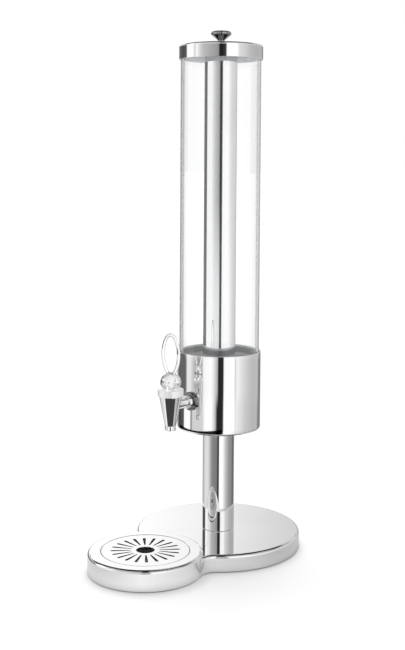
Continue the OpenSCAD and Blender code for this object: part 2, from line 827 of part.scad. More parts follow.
module tap_handle() {
    end_z = ring_h / 2 - ring_end_r;
    side_x = ring_side_r - ring_w / 2;
    color(clear) translate([0, -spout_reach, 0]) difference() {
        union() {
            translate([0, 0, handle_z]) rotate_extrude() {
                square([rock_r, apple_h - apple_top_r]);
                translate([rock_r, rock_edge_r]) intersection() {
                    circle(r = rock_edge_r);
                    translate([0, -rock_edge_r]) square([rock_edge_r, rock_edge_r]);
                }
                translate([0, rock_edge_r]) square([apple_r, apple_h - apple_top_r - rock_edge_r]);
                translate([0, apple_h - apple_top_r]) square([apple_r - apple_top_r, apple_top_r]);
                translate([apple_r - apple_top_r, apple_h - apple_top_r]) intersection() {
                    circle(r = apple_top_r);
                    square([apple_top_r, apple_top_r]);
                }
            }
            translate([0, 0, ring_z]) {
                ring_arc(0, end_z, ring_end_r, ring_joint, 180 - ring_joint);
                ring_arc(0, -end_z, ring_end_r, 180 + ring_joint, 360 - ring_joint);
                ring_arc(-side_x, 0, ring_side_r, -ring_joint, ring_joint);
                ring_arc(side_x, 0, ring_side_r, 180 - ring_joint, 180 + ring_joint);
            }
        }
        translate([-slot_w / 2, -slot_front, handle_z - overrun])
            cube([slot_w, slot_front + slot_back, rock_edge_r + slot_top + overrun]);
        translate([-apple_r - overrun, 0, pin_z]) rotate([0, 90, 0])
            cylinder(r = hinge_pin_d / 2 + running_fit / 2, h = 2 * apple_r + 2 * overrun);
    }
}

module handle_pin() {
    pin_len = 2 * apple_r - 2 * loose_fit;
    color(steel) translate([-pin_len / 2, -spout_reach, pin_z]) rotate([0, 90, 0])
        cylinder(d = hinge_pin_d, h = pin_len);
}

base_shell();
base_floor();
anti_slip_pad();
ballast_disc();
floor_screws();
column_tube();
column_foot_plug();
column_head_plug();
tie_rod();
rod_nuts();
rod_washers();
cup_housing();
tank_cradle();
rim_band();
tank_tube();
tank_floor();
ice_tube();
ice_tube_foot();
lid_shell();
lid_insert();
lid_seal();
lid_knob();
knob_screw();
drip_cup();
drip_grille();
tap_body();
outlet_ring();
escutcheon();
shank_spacer();
shank_washer();
tap_nut();
tap_bonnet();
stem_seal();
valve_stem();
valve_seat();
return_spring();
tap_handle();
handle_pin();
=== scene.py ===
"""The looks of a juice dispenser: a tall clear tank with a steel ice tube, held in a polished cup on a
column, over a weighted round base that runs into a round drip tray. Lengths are written in millimetres,
and those of the room in metres."""
import math

import bpy
import numpy as np
from mathutils import Matrix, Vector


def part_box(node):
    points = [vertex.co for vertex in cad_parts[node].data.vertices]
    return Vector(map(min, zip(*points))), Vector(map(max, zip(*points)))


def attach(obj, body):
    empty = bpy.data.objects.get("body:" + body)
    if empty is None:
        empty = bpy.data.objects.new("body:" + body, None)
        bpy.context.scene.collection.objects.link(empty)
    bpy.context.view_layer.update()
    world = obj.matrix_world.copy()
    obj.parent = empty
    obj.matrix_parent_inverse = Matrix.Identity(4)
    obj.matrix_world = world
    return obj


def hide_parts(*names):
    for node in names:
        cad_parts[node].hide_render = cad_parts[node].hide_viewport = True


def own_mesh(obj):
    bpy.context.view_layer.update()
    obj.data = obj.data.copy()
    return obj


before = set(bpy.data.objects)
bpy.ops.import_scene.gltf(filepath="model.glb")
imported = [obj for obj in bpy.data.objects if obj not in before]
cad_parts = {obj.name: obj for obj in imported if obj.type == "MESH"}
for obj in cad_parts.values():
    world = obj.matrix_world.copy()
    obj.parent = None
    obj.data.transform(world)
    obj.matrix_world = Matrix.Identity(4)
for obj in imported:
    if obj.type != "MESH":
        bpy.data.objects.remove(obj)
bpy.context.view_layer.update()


# Anti-slip pad

# The dispenser stands on a sheet of black foam rubber, die-cut to the plan of the base and glued under the
# floor plate. The plan is a large disc and a small one, joined by two fillets.
base_r = 117.35
tray_r = 78.35
tray_reach = 149.2
notch_r = 25.0
pad_inset = 1.8
pad_t = 2.0


def arc(centre, radius, start, end, count, outward=1):
    """Part of a circle: centre + radius times (cos, sin) of evenly spaced angles, with unit normals that
    point away from the centre, or towards it where outward is -1."""
    a = np.radians(np.linspace(start, end, count))
    ring = np.stack([np.cos(a), np.sin(a)], -1)
    return np.asarray(centre) + radius * ring, outward * ring


def joined(*arcs):
    """One path through arcs that follow each other: all their points, and all their normals."""
    return np.concatenate([p for p, _ in arcs]), np.concatenate([n for _, n in arcs])


def outline(inset, disc_steps=150, fillet_steps=18, tray_steps=110, tray_turn=360):
    """The base's plan as one closed path: the large disc's arc, a fillet, the tray's arc and the other
    fillet. Each arc meets the next on the line through their two centres, where both have the same
    tangent. The tray's arc runs round its front, or, where tray_turn is 0, along the same circle behind
    the fillets."""
    big, small, fillet = base_r - inset, tray_r - inset, notch_r + inset
    down = ((big + fillet) ** 2 - (small + fillet) ** 2 + tray_reach ** 2) / (2 * tray_reach)
    side = math.sqrt((big + fillet) ** 2 - down ** 2)
    from_base = math.degrees(math.atan2(-down, side))
    from_tray = math.degrees(math.atan2(tray_reach - down, side))
    return joined(arc((0, 0), big, from_base, 180 - from_base, disc_steps),
                  arc((-side, -down), fillet, -from_base, -from_tray, fillet_steps, -1),
                  arc((0, -tray_reach), small, 180 - from_tray, tray_turn + from_tray, tray_steps),
                  arc((side, -down), fillet, 180 + from_tray, 180 + from_base, fillet_steps, -1))


def bend(corners, radii=None, steps=7, closed=False):
    """A profile of straight runs whose corners are rounded by arcs: the direction turns evenly from one
    run's to the next's, and the outside lies to the right of the travel. Gives the stations, and for each
    run between two stations the unit normals at its start and end, so that sharp corners stay sharp."""
    c = np.asarray(corners, float)
    radii = np.zeros(len(c)) if radii is None else np.asarray(radii, float)
    into, out = c - np.roll(c, 1, 0), np.roll(c, -1, 0) - c
    if not closed:
        into[0], out[-1] = out[0], into[-1]
    into /= np.linalg.norm(into, axis=1, keepdims=True)
    out /= np.linalg.norm(out, axis=1, keepdims=True)
    heading = np.arctan2(into[:, 1], into[:, 0])
    turn = np.arctan2(into[:, 0] * out[:, 1] - into[:, 1] * out[:, 0], (into * out).sum(1))
    a = heading[:, None] + turn[:, None] * np.linspace(0, 1, steps + 1)
    left = np.stack([-np.sin(a), np.cos(a)], -1)
    lean = np.sign(turn)[:, None, None] * radii[:, None, None]
    start = c - into * (radii * np.tan(np.abs(turn) / 2))[:, None]
    centre = start[:, None] + lean * left[:, :1]
    at, normal = (centre - lean * left).reshape(-1, 2), (-left).reshape(-1, 2)
    if closed:
        at, normal = np.vstack([at, at[:1]]), np.vstack([normal, normal[:1]])
    keep = np.linalg.norm(np.diff(at, axis=0), axis=1) > 1e-6
    return np.vstack([at[:-1][keep], at[-1:]]), np.stack([normal[:-1][keep], normal[1:][keep]], 1)


def swept(profile, path):
    """A profile of (outward, up) carried along a closed plan path: each point is the path's, moved out
    along the path's normal by the profile's first value, at the height of its second."""
    (stations, normals), (way, out) = profile, path
    way, out = np.vstack([way, way[:1]]), np.vstack([out, out[:1]])
    xy = way[None] + stations[:, 0, None, None] * out[None]
    z = np.broadcast_to(stations[:, 1, None, None], xy.shape[:2] + (1,))
    n_xy = normals[:, :, None, None, 0] * out[None, None]
    n_z = np.broadcast_to(normals[:, :, None, None, 1], n_xy.shape[:3] + (1,))
    return np.concatenate([xy, z], -1), np.concatenate([n_xy, n_z], -1)


def flat_face(path, level, up, hole=0.0):
    """A flat face inside a closed path, down to a point or to a round hole about the origin: straight
    lines run from each point of the path towards the origin."""
    way = np.vstack([path[0], path[0][:1]])
    near = way * (hole / np.maximum(np.linalg.norm(way, axis=1, keepdims=True), 1e-9))
    share = np.linspace(0, 1, 5)[:, None, None]
    xy = way[None] * (1 - share) + near[None] * share
    z = np.full(xy.shape[:2] + (1,), level)
    return np.concatenate([xy, z], -1), np.broadcast_to([0.0, 0.0, up], (4, 2, xy.shape[1], 3))


def set_up(name, data):
    """Puts a mesh, a lamp or a camera into the scene under a name."""
    made = bpy.data.objects.new(name, data)
    bpy.context.scene.collection.objects.link(made)
    return made


def skin(name, grids):
    """Puts grids of points, in millimetres, into one mesh: neighbours on a grid make a face, points that
    fall together are merged, so seams and poles close, and each face corner keeps its own normal."""
    quads, bends, points, first = [], [], [], 0
    for p, n in grids:
        index = first + np.arange(p.shape[0] * p.shape[1]).reshape(p.shape[:2])
        first += index.size
        q = np.stack([index[:-1, :-1], index[1:, :-1], index[1:, 1:], index[:-1, 1:]], -1).reshape(-1, 4)
        b = np.stack([n[:, 0, :-1], n[:, 1, :-1], n[:, 1, 1:], n[:, 0, 1:]], 2).reshape(-1, 4, 3)
        flat = p.reshape(-1, 3)
        corners = flat[q - index[0, 0]]
        facing = np.cross(corners[:, 2] - corners[:, 0], corners[:, 3] - corners[:, 1])
        if (facing * b.mean(1)).sum() < 0:
            q, b = q[:, ::-1], b[:, ::-1]
        quads.append(q)
        bends.append(b)
        points.append(flat)
    quads, bends, points = np.concatenate(quads), np.concatenate(bends), np.concatenate(points)
    _, keep, merged = np.unique(np.round(points * 1e4).astype(np.int64), axis=0, return_index=True,
                                return_inverse=True)
    quads = merged.reshape(-1)[quads]
    corner = quads != np.roll(quads, 1, axis=1)
    whole = corner.sum(1) >= 3
    quads, bends, corner = quads[whole], bends[whole], corner[whole]
    loops, counts = quads[corner], corner.sum(1)
    mesh = bpy.data.meshes.new(name)
    mesh.vertices.add(len(keep))
    mesh.vertices.foreach_set("co", (points[keep] * 0.001).astype(np.float32).ravel())
    mesh.loops.add(len(loops))
    mesh.loops.foreach_set("vertex_index", loops.astype(np.int32))
    mesh.polygons.add(len(counts))
    mesh.polygons.foreach_set("loop_start", np.concatenate([[0], np.cumsum(counts)[:-1]]).astype(np.int32))
    mesh.update(calc_edges=True)
    mesh.polygons.foreach_set("use_smooth", np.ones(len(counts), bool))
    mesh.normals_split_custom_set(bends[corner].tolist())
    return set_up(name, mesh)


class Wire:
    """One output in a node tree. Arithmetic on wires and numbers adds Math nodes, and node() adds any
    other."""

    def __init__(self, tree, socket=None):
        self.tree, self.socket = tree, socket

    def node(self, kind, ins=None, out=0, stops=(), **settings):
        """A node of a type, with its settings and ramp stops first, then the values or wires of its
        sockets."""
        made = self.tree.nodes.new("ShaderNode" + kind)
        for key, value in settings.items():
            setattr(made, key, value)
        if stops:
            ramp = made.color_ramp.elements
            while len(ramp) < len(stops):
                ramp.new(1.0)
            for element, (place, grey) in zip(ramp, stops):
                element.position, element.color = place, (grey, grey, grey, 1)
        for key, value in (ins or {}).items():
            if isinstance(value, Wire):
                self.tree.links.new(value.socket, made.inputs[key])
            else:
                made.inputs[key].default_value = value
        return Wire(self.tree, made.outputs[out] if made.outputs else None)

    def maths(self, operation, a, b):
        """A Math node on two numbers or wires."""
        return self.node("Math", {0: a, 1: b}, operation=operation)

    def __add__(self, other):
        return self.maths("ADD", self, other)

    def __radd__(self, other):
        return self.maths("ADD", other, self)

    def __sub__(self, other):
        return self.maths("SUBTRACT", self, other)

    def __rsub__(self, other):
        return self.maths("SUBTRACT", other, self)

    def __mul__(self, other):
        return self.maths("MULTIPLY", self, other)

    def __rmul__(self, other):
        return self.maths("MULTIPLY", other, self)

    def __truediv__(self, other):
        return self.maths("DIVIDE", self, other)

    def __gt__(self, other):
        return self.maths("GREATER_THAN", self, other)

    def __lt__(self, other):
        return self.maths("LESS_THAN", self, other)

    def between(self, low, high):
        """0 below low, 1 above high, and a smooth rise in between."""
        return self.node("MapRange", {"Value": self, "From Min": low, "From Max": high},
                         interpolation_type="SMOOTHSTEP")

    def mixed(self, first, second):
        """The colour that lies this far from the first colour to the second."""
        return self.node("Mix", {0: self, 6: first, 7: second}, out=2, data_type="RGBA", clamp_factor=True)

    def noise(self, scale, detail=2.0, stretch=None):
        """A cloudy pattern of about 0 to 1 on Object coordinates, with scale spots to the metre, and with
        so many times more of them along each axis as stretch says."""
        here = self.node("TexCoord", out="Object")
        if stretch:
            here = self.node("Mapping", {"Vector": here, "Scale": stretch})
        return self.node("TexNoise", {"Vector": here, "Scale": scale, "Detail": detail})

    def bump(self, strength, height):
        """The normals of a surface that this pattern raises by up to a height in metres."""
        return self.node("Bump", {"Height": self, "Strength": strength, "Distance": height})


def finish(name, make):
    """A material whose surface is what make returns: a dict of Principled sockets, or a wire."""
    material = bpy.data.materials.new(name)
    material.use_nodes = True
    material.node_tree.nodes.clear()
    w = Wire(material.node_tree)
    surface = make(w)
    if isinstance(surface, dict):
        surface = w.node("BsdfPrincipled", surface)
    w.node("OutputMaterial", {"Surface": surface})
    return material


def place(piece, material, body, slot, *nodes):
    """A new piece gets its material and rides on its body, and the plain solids that it replaces are
    hidden."""
    piece.data.materials.append(material)
    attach(piece, body)
    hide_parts(*nodes)


def rubber(w):
    """Black foam rubber with its fine pores and a film of dust."""
    grain = w.noise(2600, 3)
    dust = w.noise(35, 2).between(0.45, 0.75)
    soot = (dust * 0.5 + grain * 0.3).mixed((0.018, 0.018, 0.019, 1), (0.055, 0.055, 0.055, 1))
    return {"Base Color": soot, "Roughness": 0.82 + grain * 0.15, "Specular IOR Level": 0.25,
            "Normal": grain.bump(0.35, 0.0003)}


pad_path = outline(pad_inset)
pad = skin("pad_foam", [swept(bend([(0, 0), (0, pad_t)]), pad_path), flat_face(pad_path, 0.0, -1.0),
                        flat_face(pad_path, pad_t, 1.0)])
place(pad, finish("foam_rubber", rubber), "stand", "black_rubber", "anti_slip_pad")


# Floor plate, ballast and tie rod

# A sheet steel plate closes the base from below, held by five countersunk screws. A cast iron disc on the
# plate keeps the dispenser from tipping, and one rod clamps cup, column, shell and disc together.
def dress(node, material):
    """A solid that stays as it is gets a better material in its object's slots."""
    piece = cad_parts[node]
    if not piece.data.materials:
        piece.data.materials.append(None)
    for slot in piece.material_slots:
        slot.link = "OBJECT"
        slot.material = material


def sheet_steel(w):
    """Rolled steel sheet: fine lines along one direction, with dull patches."""
    lines, patch = w.noise(60, 3, (1.0, 40.0, 1.0)), w.noise(18, 3)
    return {"Base Color": (lines * 0.5 + patch * 0.4).mixed((0.52, 0.52, 0.53, 1), (0.68, 0.68, 0.69, 1)),
            "Metallic": 1.0, "Roughness": 0.26 + patch * 0.16, "Normal": lines.bump(0.12, 0.0002)}


def cast_iron(w):
    """A sand casting with its skin on: dark grey, grainy, with soft lumps."""
    sand, lumps = w.noise(900, 4), w.noise(70, 3)
    return {"Base Color": (sand * 0.6 + lumps * 0.4).mixed((0.09, 0.09, 0.10, 1), (0.22, 0.21, 0.21, 1)),
            "Metallic": 0.55, "Roughness": 0.62 + sand * 0.25,
            "Normal": (sand + lumps * 2.0).bump(0.5, 0.0006)}


def turned_steel(w):
    """Bright turned steel: thin rings left by the lathe, and a slight oil haze."""
    rings = w.node("TexWave", {"Vector": w.node("TexCoord", out="Object"), "Scale": 420.0, "Distortion": 1.5,
                               "Detail": 2.0}, wave_type="BANDS", bands_direction="Z")
    haze = w.noise(90, 2)
    return {"Base Color": (haze * 0.7 + rings * 0.2).mixed((0.55, 0.55, 0.56, 1), (0.70, 0.70, 0.70, 1)),
            "Metallic": 1.0, "Roughness": 0.2 + haze * 0.12, "Normal": rings.bump(0.06, 0.0001)}


turned_finish = finish("turned_steel", turned_steel)
dress("base_floor", finish("rolled_steel_sheet", sheet_steel))
dress("ballast_disc", finish("cast_iron_skin", cast_iron))
for hidden in ("floor_screws", "column_foot_plug", "column_head_plug", "tie_rod", "rod_nuts", "rod_washers"):
    dress(hidden, turned_finish)


# Base shell with the drip tray's housing

# One shell pressed and polished from stainless sheet: a low round base whose front runs through two
# fillets into a slightly taller round tray housing with a deep well. All upper edges are rolled over a
# soft radius.
base_top = 24.0
tray_top = 28.7
shell_foot = 0.8
sheet_t = 1.2
roll_r = 4.5
hem_r = 0.5
top_hole_r = 19.0
well_r = 60.5
well_floor = 9.0
floor_plate_top = 5.0


def polished(w, tint=(0.90, 0.90, 0.905, 1), dull=(0.84, 0.84, 0.85, 1), base_rough=0.012):
    """Mirror polished stainless steel: faint clouds from wiping, a little duller where they lie, and
    polishing lines too fine to count."""
    clouds = w.noise(14, 4).between(0.42, 0.78)
    return {"Base Color": (clouds * 0.5).mixed(tint, dull), "Metallic": 1.0,
            "Roughness": base_rough + clouds * 0.022, "Normal": w.noise(3200, 2).bump(0.02, 0.00002)}


def turned(profile, centre=(0, 0), around=112):
    """A profile of (radius, height) turned about an upright axis: it is carried along a circle of no
    radius about the centre, whose normals go once round."""
    return swept(profile, arc(centre, 0.0, 0.0, 360.0 - 360.0 / around, around))


mirror = finish("mirror_polished_steel", polished)

# The rolled edge goes on behind the fillets along the tray's circle, where it dives into the tray's wall.
shell_plan = outline(0.0, disc_steps=190, fillet_steps=26, tray_steps=60, tray_turn=0)
skirt = bend([(-sheet_t, floor_plate_top), (-sheet_t, shell_foot), (0, shell_foot), (0, base_top),
              (-roll_r, base_top)], [0, hem_r, hem_r, roll_r, 0], steps=10)
top_edge = (shell_plan[0] - shell_plan[1] * roll_r, shell_plan[1])
tray_wall = bend([(tray_r - sheet_t, floor_plate_top), (tray_r - sheet_t, shell_foot), (tray_r, shell_foot),
                  (tray_r, tray_top), (well_r, tray_top), (well_r, well_floor), (0, well_floor)],
                 [0, hem_r, hem_r, roll_r, 1.0, 3.0, 0], steps=10)
shell = skin("pressed_shell", [swept(skirt, shell_plan), flat_face(top_edge, base_top, 1.0, top_hole_r),
                               turned(tray_wall, (0, -tray_reach), 144)])
place(shell, mirror, "stand", "polished_steel", "base_shell")


# Column

# A thick stainless tube, polished to a mirror, that stands on the base and carries the cup. Its lower edge
# is rounded, and the plugs in its two ends centre it.
column_r = 23.0
column_bore = 21.5
column_top = 171.5


def wall(bore, radius, foot, top):
    """The four corners of an upright wall's section, from the foot of its bore outwards and up."""
    return [(bore, foot), (radius, foot), (radius, top), (bore, top)]


column_profile = bend(wall(column_bore, column_r, base_top, column_top), [0, 1.0, 0.3, 0], 4, closed=True)
column = skin("column_tube_polished", [turned(column_profile, around=128)])
place(column, mirror, "stand", "polished_steel", "column_tube")


# Cup, cradle and rim band

# The deep drawn cup takes the foot of the tank. Inside, a moulded seat lifts the tank over the rod's nut,
# and a soft clear band in the rim keeps the tank in the middle.
cup_r = 60.0
cup_bore = 58.8
cup_top = 283.2
cup_floor_t = 1.2
rod_hole_r = 5.25
satin_r = 59.4
satin_foot = 172.8
satin_top = 719.4


def drawn(w):
    """Deep drawn steel that is polished outside only: within the middle of its wall, and between the outer
    faces of the cup's floor and of the lid, it keeps the satin skin of the press, with faint upright draw
    lines."""
    here = w.node("TexCoord", out="Object")
    flat = w.node("VectorMath", {0: here, 1: (1.0, 1.0, 0.0)}, operation="MULTIPLY")
    up = w.node("SeparateXYZ", {0: here}, out="Z")
    inside = w.node("VectorMath", {0: flat}, out="Value", operation="LENGTH") < 0.001 * satin_r
    inside = inside * (up > 0.001 * satin_foot) * (up < 0.001 * satin_top)
    streaks = w.noise(900, 2, (1.0, 1.0, 0.03))
    outside = polished(w)
    satin = streaks.mixed((0.90, 0.90, 0.905, 1), (0.98, 0.98, 0.98, 1))
    return outside | {"Base Color": inside.mixed(outside["Base Color"], satin),
                      "Metallic": 1.0 - inside * 0.95,
                      "Roughness": outside["Roughness"] + inside * (0.30 + streaks * 0.1)}


def moulded_white(w):
    """Injection moulded white plastic with a fine spark-eroded grain."""
    grain, cloud = w.noise(1500, 2), w.noise(25, 2)
    return {"Base Color": (cloud * 0.6 + grain * 0.2).mixed((0.80, 0.80, 0.79, 1), (0.90, 0.90, 0.89, 1)),
            "Roughness": 0.42 + grain * 0.18, "Normal": grain.bump(0.15, 0.0001)}


def clear_silicone(w):
    """Soft clear silicone: milky inside, with a slightly tacky surface."""
    milk = w.noise(160, 2)
    return {"Base Color": milk.mixed((0.92, 0.93, 0.935, 1), (0.97, 0.975, 0.975, 1)),
            "Roughness": 0.10 + milk * 0.12, "IOR": 1.41, "Transmission Weight": 0.9}


drawn_steel = finish("drawn_steel", drawn)
cup_floor = column_top + cup_floor_t
cup_profile = bend([(rod_hole_r, column_top), (cup_r, column_top), (cup_r, cup_top), (cup_bore, cup_top),
                    (cup_bore, cup_floor), (rod_hole_r, cup_floor)],
                   [0, 3.0, 0.4, 0.4, 1.8, 0], steps=8, closed=True)
cup = skin("drawn_cup", [turned(cup_profile, around=160)])
place(cup, drawn_steel, "stand", "polished_steel", "cup_housing")
dress("tank_cradle", finish("moulded_white", moulded_white))
silicone = finish("clear_silicone", clear_silicone)
band_profile = bend(wall(bore=57.55, radius=58.75, foot=272.2, top=280.2), [0.3] * 4, 3, closed=True)
rim_band = skin("rim_band_soft", [turned(band_profile, around=128)])
place(rim_band, silicone, "stand", "silicone", "rim_band")


# Tank

# A clear acrylic tube with polished ends, bonded to a clear floor disc whose boss centres the ice tube.
# The wall is thick enough to look faintly grey where one looks along it at the edges.
tank_r = 57.5
tank_bore = 54.5
tank_foot = 188.0
tank_top = 716.0
disc_r = 54.45
disc_top = 193.0
boss_r = 10.0
boss_top = 201.0


def let_light_through(w, glass):
    """Clear plastic takes little light away, so lamps and soft light shine straight through it: for shadow
    rays and diffuse rays the surface is transparent with a slight grey, and for all others it is the
    solid."""
    soft = w.maths("MAXIMUM", w.node("LightPath", out="Is Shadow Ray"),
                   w.node("LightPath", out="Is Diffuse Ray"))
    thin = w.node("BsdfTransparent", {"Color": (0.95, 0.955, 0.96, 1)})
    return w.node("MixShader", {0: soft, 1: glass, 2: thin})


def acrylic(w):
    """Cast clear acrylic: glossy, with wiping haze that only dulls the gloss. Light that enters at a
    glancing angle runs a long way inside the wall, so the outline is grey."""
    haze = w.noise(9, 3).between(0.4, 0.8)
    along_wall = w.node("LayerWeight", {"Blend": 0.5}, out="Facing").between(0.64, 0.74)
    clear = haze.mixed((0.998, 0.999, 0.999, 1), (0.988, 0.992, 0.992, 1))
    solid = w.node("BsdfPrincipled", {"Base Color": along_wall.mixed(clear, (0.30, 0.31, 0.31, 1)),
                                      "Roughness": haze * 0.01, "IOR": 1.49, "Transmission Weight": 1.0,
                                      "Specular IOR Level": 0.25})
    return let_light_through(w, solid)


clear_tank = finish("clear_acrylic", acrylic)
tank_profile = bend(wall(tank_bore, tank_r, tank_foot, tank_top), [0.4] * 4, 3, closed=True)
tank = skin("tank_wall", [turned(tank_profile, around=192)])
place(tank, clear_tank, "stand", "clear_tank", "tank_tube")
disc_profile = bend([(0, tank_foot), (disc_r, tank_foot), (disc_r, disc_top), (boss_r, disc_top),
                     (boss_r, boss_top), (0, boss_top)], [0, 0.3, 0.3, 1.0, 0.6, 0], 4)
tank_disc = skin("tank_disc", [turned(disc_profile, around=96)])
place(tank_disc, clear_tank, "stand", "clear_tank", "tank_floor")


# Ice tube

# A polished stainless tube full of crushed ice stands in the middle of the tank on a turned foot, and
# cools the juice without thinning it. It lifts out once the lid is off.
ice_profile = bend(wall(bore=22.35, radius=23.35, foot=197.3, top=712.3), [0, 0, 0.4, 0.4], 4, closed=True)
ice_tube = skin("ice_tube_polished", [turned(ice_profile, around=128)])
place(ice_tube, mirror, "ice_tube", "polished_steel", "ice_tube")
dress("ice_tube_foot", turned_finish)


# Lid

# The lid is a shallow pressed cap with a rolled upper edge. A frosted moulded plate under it carries one
# ring that enters the tank, with a soft seal, and one that goes round the ice tube.
lid_r = 60.0
lid_bore = 58.8
lid_foot = 699.8
lid_top = 720.9
lid_t = 1.2
screw_hole_r = 2.75
plate_r = 58.75
plate_foot = 716.3
plate_top = 719.7
rings_foot = 708.3
tube_ring_bore, tube_ring_r = 23.65, 26.15
tank_ring_bore, tank_ring_r = 51.7, 54.2
groove_r, groove_foot, groove_top = 52.8, 711.3, 713.3


def frosted(w):
    """Frosted moulded plastic: light passes, but shapes behind it blur."""
    grain, flow = w.noise(900, 2), w.noise(30, 3)
    return {"Base Color": flow.mixed((0.88, 0.89, 0.89, 1), (0.95, 0.955, 0.955, 1)),
            "Roughness": 0.38 + grain * 0.2, "IOR": 1.5, "Transmission Weight": 0.25,
            "Normal": grain.bump(0.12, 0.0001)}


lid_profile = bend([(lid_bore, lid_foot), (lid_r, lid_foot), (lid_r, lid_top), (screw_hole_r, lid_top),
                    (screw_hole_r, lid_top - lid_t), (lid_bore, lid_top - lid_t)],
                   [0.3, 0.5, 3.4, 0, 0, 2.2], steps=9, closed=True)
lid = skin("pressed_lid", [turned(lid_profile, around=160)])
place(lid, drawn_steel, "lid", "polished_steel", "lid_shell")
insert_profile = bend([(screw_hole_r, plate_foot), (tube_ring_bore, plate_foot),
                       (tube_ring_bore, rings_foot), (tube_ring_r, rings_foot), (tube_ring_r, plate_foot),
                       (tank_ring_bore, plate_foot), (tank_ring_bore, rings_foot),
                       (tank_ring_r, rings_foot), (tank_ring_r, groove_foot),
                       (groove_r, groove_foot), (groove_r, groove_top), (tank_ring_r, groove_top),
                       (tank_ring_r, plate_foot), (plate_r, plate_foot), (plate_r, plate_top),
                       (screw_hole_r, plate_top)],
                      [0, 0.8, 0.6, 0.6, 0.8, 0.8, 0.6, 0.6, 0.2, 0, 0, 0.2, 0.6, 0.3, 2.2, 0], 4,
                      closed=True)
insert = skin("lid_plate", [turned(insert_profile, around=128)])
place(insert, finish("frosted_plastic", frosted), "lid", "frosted_plastic", "lid_insert")
seal_profile = bend(wall(bore=52.85, radius=54.4, foot=711.4, top=713.2), [0.2, 0.8, 0.8, 0.2], 4,
                    closed=True)
seal = skin("lid_seal_soft", [turned(seal_profile, around=128)])
place(seal, silicone, "lid", "silicone", "lid_seal")


# Knob

# A small turned knob, dark polished, shaped like a mushroom on a short neck. One screw from below holds
# knob, lid and plate together.
knob_bore = 2.0
neck_r = 4.7
neck_top = lid_top + 6.5
cone_end = (12.9, lid_top + 14.0)
rim_r = 3.2
rim_at = (11.4, lid_top + 16.4)
crown = 1.2


def dark_polish(w):
    """Dark chrome: a black mirror with a few wiped clouds."""
    clouds = w.noise(60, 3).between(0.4, 0.8)
    return {"Base Color": (clouds * 0.6).mixed((0.33, 0.33, 0.335, 1), (0.28, 0.28, 0.285, 1)),
            "Metallic": 1.0, "Roughness": 0.03 + clouds * 0.03}


def smooth(normals):
    """One normal for each station, as the pairs at the start and end of each run between two stations."""
    return np.stack([normals[:-1], normals[1:]], 1)


def knob_shape():
    """The knob's profile: up the neck, out along a cone, round the rim's arc, and over a flat dome whose
    height falls with the square of the radius."""
    neck, _ = bend([(knob_bore, lid_top), (neck_r, lid_top), (neck_r, neck_top), cone_end],
                   [0, 0, 1.5, 0], 6)
    rim, _ = arc(rim_at, rim_r, -52, 90, 20)
    r = np.linspace(rim_at[0], 0, 10)[1:]
    dome = np.stack([r, rim_at[1] + rim_r + crown * (1 - (r / rim_at[0]) ** 2)], -1)
    line = np.concatenate([neck[:-1], rim, dome])
    run = np.gradient(line, axis=0)
    n = np.stack([run[:, 1], -run[:, 0]], -1)
    n /= np.linalg.norm(n, axis=1, keepdims=True)
    n[-1] = (0, 1)
    return line, smooth(n)


knob = skin("mushroom_knob", [turned(knob_shape(), around=72)])
place(knob, finish("dark_polished_metal", dark_polish), "lid", "dark_chrome", "lid_knob")
dress("knob_screw", turned_finish)


# Drip cup

# Under the grille a drawn steel cup catches the drips and lifts out. Its inward flange carries the grille.
drip_r = 59.9
drip_bore = 58.9
drip_foot = 9.3
drip_t = 1.0
flange_bore = 56.1
flange_top = 26.7


def dark_spotted(w):
    """Plain drawn steel, dulled, darker than the polished parts, and darker still in cloudy spots."""
    spots = w.noise(120, 3).between(0.4, 0.7)
    return {"Base Color": spots.mixed((0.56, 0.56, 0.565, 1), (0.42, 0.42, 0.42, 1)), "Metallic": 1.0,
            "Roughness": 0.34 + spots * 0.2}


drip_profile = bend([(0, drip_foot), (drip_r, drip_foot), (drip_r, flange_top), (flange_bore, flange_top),
                     (flange_bore, flange_top - drip_t), (drip_bore, flange_top - drip_t),
                     (drip_bore, drip_foot + drip_t), (0, drip_foot + drip_t)],
                    [0, 4.5, 0.8, 0.3, 0.3, 0.2, 3.5, 0], 6)
drip_cup = skin("drip_cup_drawn", [turned(drip_profile, (0, -tray_reach), 96)])
place(drip_cup, finish("dark_spotted_steel", dark_spotted), "drip_cup", "polished_steel", "drip_cup")


# Grille

# A flat plate punched from polished steel, with twenty slots that grow wider outwards round a finger hole.
# It lies on the drip cup's flange and lifts off.
grille_r = 59.9
grille_low = 27.0
grille_top = 28.5
finger_r = 12.5
slot_count = 20
slot_near = 19.25
slot_far = 47.0
slot_spread = 5.8
slot_turn = 11.0
edge_r = 0.35


